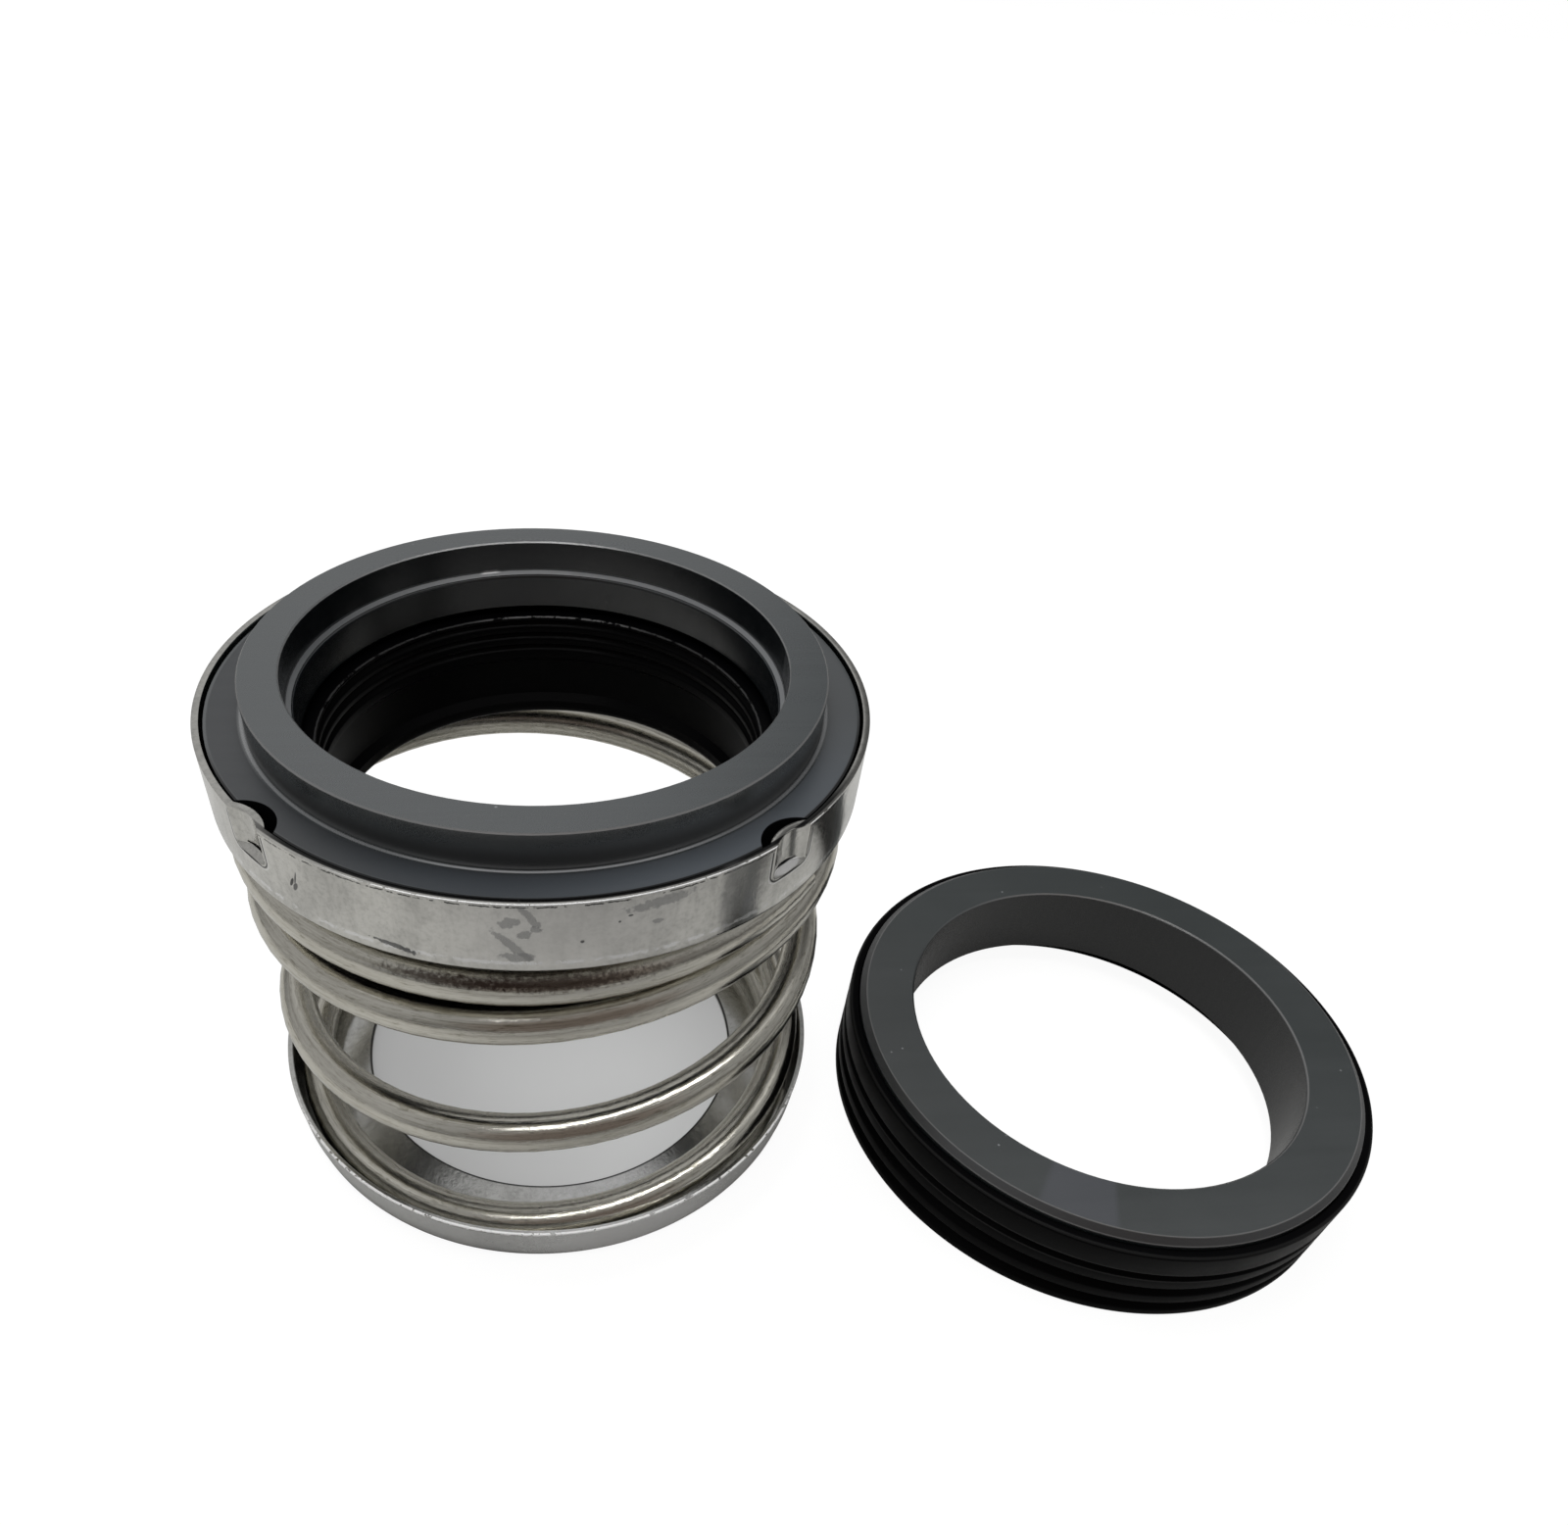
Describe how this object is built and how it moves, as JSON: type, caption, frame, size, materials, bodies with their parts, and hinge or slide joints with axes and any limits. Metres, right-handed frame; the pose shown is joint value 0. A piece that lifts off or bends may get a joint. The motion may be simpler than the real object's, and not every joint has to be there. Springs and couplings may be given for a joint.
{
  "type": "component mechanical seal",
  "caption": "Elastomer-bellows component mechanical seal: rotary head on a coil spring in a pressed holder, with its stationary seat ring in a grooved rubber boot.",
  "frame": {"origin": "centre of the spring holder's hole, at the underside of its foot, on the head's axis", "axes": "+Z along the shaft axis from the spring holder to the sealing face; the seat lies on the +X side, 11 degrees towards -Y"},
  "size_m": [0.1456, 0.0853, 0.0636],
  "materials": {
    "ring_carbide": "lapped silicon carbide, matt dark grey",
    "seat_carbide": "lapped silicon carbide, matt dark grey",
    "case_steel": "polished stainless sheet with light handling marks",
    "holder_steel": "polished stainless sheet with a burred rim",
    "spring_wire": "drawn stainless wire, slightly warm, with drawing lines",
    "bellows_rubber": "moulded black rubber, satin",
    "boot_rubber": "moulded black rubber, satin"
  },
  "bodies": {
    "holder_and_seat": {"spring_holder": "holder_steel", "spring": "spring_wire", "seat_ring": "seat_carbide", "seat_boot": "boot_rubber"},
    "seal_head": {"face_ring": "ring_carbide", "drive_case": "case_steel", "bellows": "bellows_rubber"}
  },
  "joints": [
    {"name": "head_travel", "type": "slide", "parent": "holder_and_seat", "child": "seal_head", "axis": [0, 0, -1], "range_m": [0, 0.018], "stiffness_N_per_m": 5000, "deforming": ["spring"]}
  ]
}
